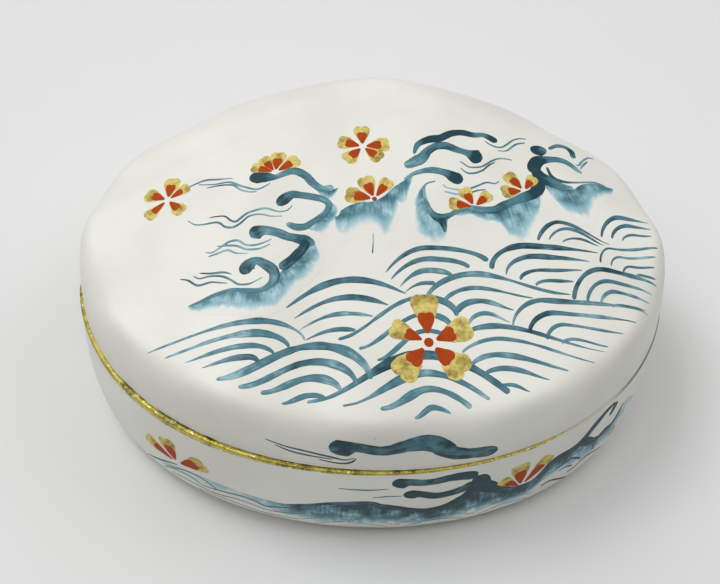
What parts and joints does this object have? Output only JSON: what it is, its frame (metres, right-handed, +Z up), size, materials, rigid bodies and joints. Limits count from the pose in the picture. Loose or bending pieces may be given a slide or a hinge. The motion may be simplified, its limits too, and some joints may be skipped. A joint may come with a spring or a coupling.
{
  "type": "incense box",
  "caption": "Small ceramic incense box shaped like a closed clam shell, with a lift-off domed lid on an inner lip, gilded mouth rims and painted waves and blossoms.",
  "frame": {"origin": "on the flat foot, under the middle of the shell's widest line", "axes": "+X to the right end, +Y to the hinge side at the back, +Z up through the lid"},
  "size_m": [0.084, 0.0642, 0.037],
  "materials": {
    "glaze": "satin warm white glaze",
    "gold": "hand-laid gold, uneven"
  },
  "bodies": {
    "body": {"body": "glaze", "body_gilding": "gold"},
    "lid": {"lid": "glaze", "lid_gilding": "gold"}
  },
  "joints": [
    {"name": "lid_lift", "type": "slide", "parent": "body", "child": "lid", "axis": [0, 0, 1], "range_m": [0, 0.06]}
  ]
}
